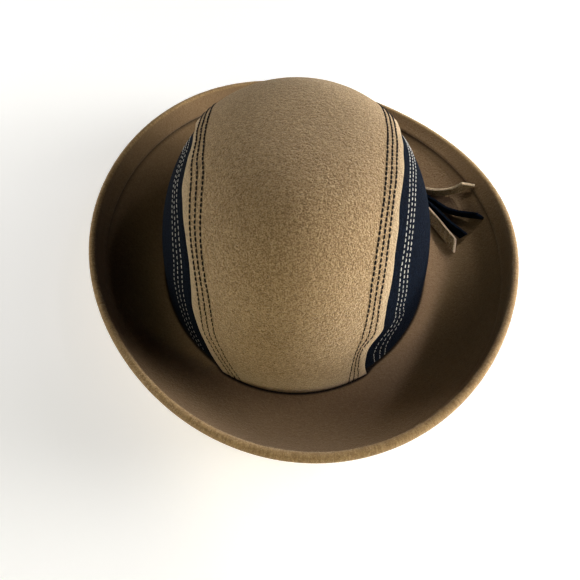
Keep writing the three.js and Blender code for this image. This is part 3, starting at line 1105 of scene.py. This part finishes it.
add_camera()
put(brim(), "brim")
put(rim_fuzz())
put(crown_centre(), "crown_centre_panel")
put(crown_side(-1), "crown_side_left")
put(crown_side(1), "crown_side_right")
for name in STRIPS:
    tan = "_tan_" in name
    put(
        trim_strip(name, crown_felt if tan else black_felt),
        name,
    )
dark_rows, on_centre = [-row for row in DARK_ROWS], CENTRE_PROUD - GROOVE_DEPTH
on_side = -SIDE_SUNK - GROOVE_DEPTH
for hand, side in ((-1, "left"), (1, "right")):
    name = f"dark_stitches_{side}"
    sewn = stitches(name, hand, dark_rows, on_centre, DARK_STITCH, dark_thread)
    put(sewn)
    name = f"light_stitches_{side}"
    sewn = stitches(name, hand, LIGHT_ROWS, on_side, LIGHT_STITCH, light_thread)
    put(sewn)

# ------------------------------------------------------------------ floor and light

LIGHT_DISTANCE = 1.3
BEAM_SOURCE_RADIUS = 0.09
FLOOR_HALF, FLOOR_DROP, FLOOR_GLOW = 1000, 0.2, 0.43


def add_floor():
    """A wide pale floor just under the hat, with a faint glow of its own."""
    pale = Finish("pale_floor", Roughness=0.9, Emission_Strength=FLOOR_GLOW)
    dust = pale.noise(pale.place(), 0.4)
    shade = pale.mix(dust, colour(0.82, 0.82, 0.81), colour(0.86, 0.86, 0.85))
    pale.set(Base_Color=shade, Emission_Color=colour(1, 1, 1))
    corners = FLOOR_HALF * np.array([[-1, -1], [1, -1], [1, 1], [-1, 1]])
    points = np.concatenate([corners, np.full((4, 1), -FLOOR_DROP)], 1)
    floor = new_piece("floor", points, np.array([[0, 1, 2, 3]]), pale.material)


def add_light(name, data, bearing, elevation, target, tint):
    """A light LIGHT_DISTANCE from a target, a point of the hat's frame in millimetres, that faces
    it from a bearing and an elevation in degrees."""
    data.color = tint
    light = bpy.data.objects.new(name, data)
    light.visible_camera = False
    b, e = np.radians(bearing), np.radians(elevation)
    away = np.array([np.cos(b) * np.cos(e), np.sin(b) * np.cos(e), np.sin(e)])
    right = unit(np.cross([0, 0, 1.0], away))
    turned = np.eye(4)
    turned[:3, 0], turned[:3, 1], turned[:3, 2] = right, np.cross(away, right), away
    turned[:3, 3] = to_part(target) + away * LIGHT_DISTANCE
    light.matrix_world = Matrix(turned.tolist())
    bpy.context.scene.collection.objects.link(light)


def add_panel_light(name, bearing, elevation, width, height, radiance, tint):
    """A soft light panel; its power is its radiance times pi times its area."""
    data = bpy.data.lights.new(name, "AREA")
    data.shape, data.size, data.size_y = "RECTANGLE", width, height
    data.energy = radiance * np.pi * width * height
    add_light(name, data, bearing, elevation, (0, 0, 50), tint)


def add_beam(name, bearing, elevation, target, reach, flux, tint):
    """A soft-edged beam that lights a round place, reach millimetres to each side of its target,
    with flux watts a square metre at its middle."""
    data = bpy.data.lights.new(name, "SPOT")
    data.spot_size = 2 * np.arctan(reach / 1000 / LIGHT_DISTANCE)
    data.spot_blend = 1.0
    data.shadow_soft_size = BEAM_SOURCE_RADIUS
    data.energy = 4 * np.pi * flux * LIGHT_DISTANCE**2
    add_light(name, data, bearing, elevation, target, tint)


def add_sky(light, seen):
    """An even surround, faint as a light and pale where it is seen past the floor."""
    world = bpy.data.worlds.new("surround")
    world.use_nodes = True
    tree = world.node_tree
    path = tree.nodes.new("ShaderNodeLightPath")
    strength = tree.nodes.new("ShaderNodeMix")
    strength.inputs[2].default_value, strength.inputs[3].default_value = light, seen
    tree.links.new(path.outputs["Is Camera Ray"], strength.inputs[0])
    back = tree.nodes["Background"]
    back.inputs["Color"].default_value = colour(1, 1, 1)
    tree.links.new(strength.outputs[0], back.inputs["Strength"])
    bpy.context.scene.world = world


WARM, NEUTRAL = (1.0, 0.93, 0.66), (1.0, 0.98, 0.95)
COOL = (0.9, 0.86, 1.0)
add_floor()
add_panel_light("window_sill", 0, 4, 0.5, 0.5, 28, NEUTRAL)
add_panel_light("window", 4, 16, 1.0, 0.5, 10.4, NEUTRAL)
add_panel_light("window_top", 18, 33, 1.0, 0.5, 1.9, NEUTRAL)
add_panel_light("left_wall", 158, 15, 0.7, 0.7, 7.8, NEUTRAL)
add_panel_light("front_left", 240, 32, 0.5, 0.5, 2.1, WARM)
add_panel_light("front", 265, 16, 1.0, 0.5, 1.2, WARM)
add_beam("beam_right", -25, 50, (96, -30, 6), 84, 5.0, COOL)
add_beam("beam_back", 40, 50, (74, 76, 7), 58, 15, NEUTRAL)
add_beam("beam_above_back", 90, 78, (101, 84, 12), 44, 4.4, NEUTRAL)
add_beam("beam_above_right", 180, 78, (127, -32, 42), 30, 0.8, NEUTRAL)
add_beam("beam_corner", -60, 78, (64, -100, 10), 38, 0.6, NEUTRAL)
add_beam("beam_left", 10, 52, (-128, 5, 45), 34, 1.7, COOL)
add_beam("beam_front", 280, 36, (20, -98, 20), 50, 5.6, WARM)
add_sky(0.01, 0.9)
bpy.context.scene.view_settings.view_transform = "Standard"
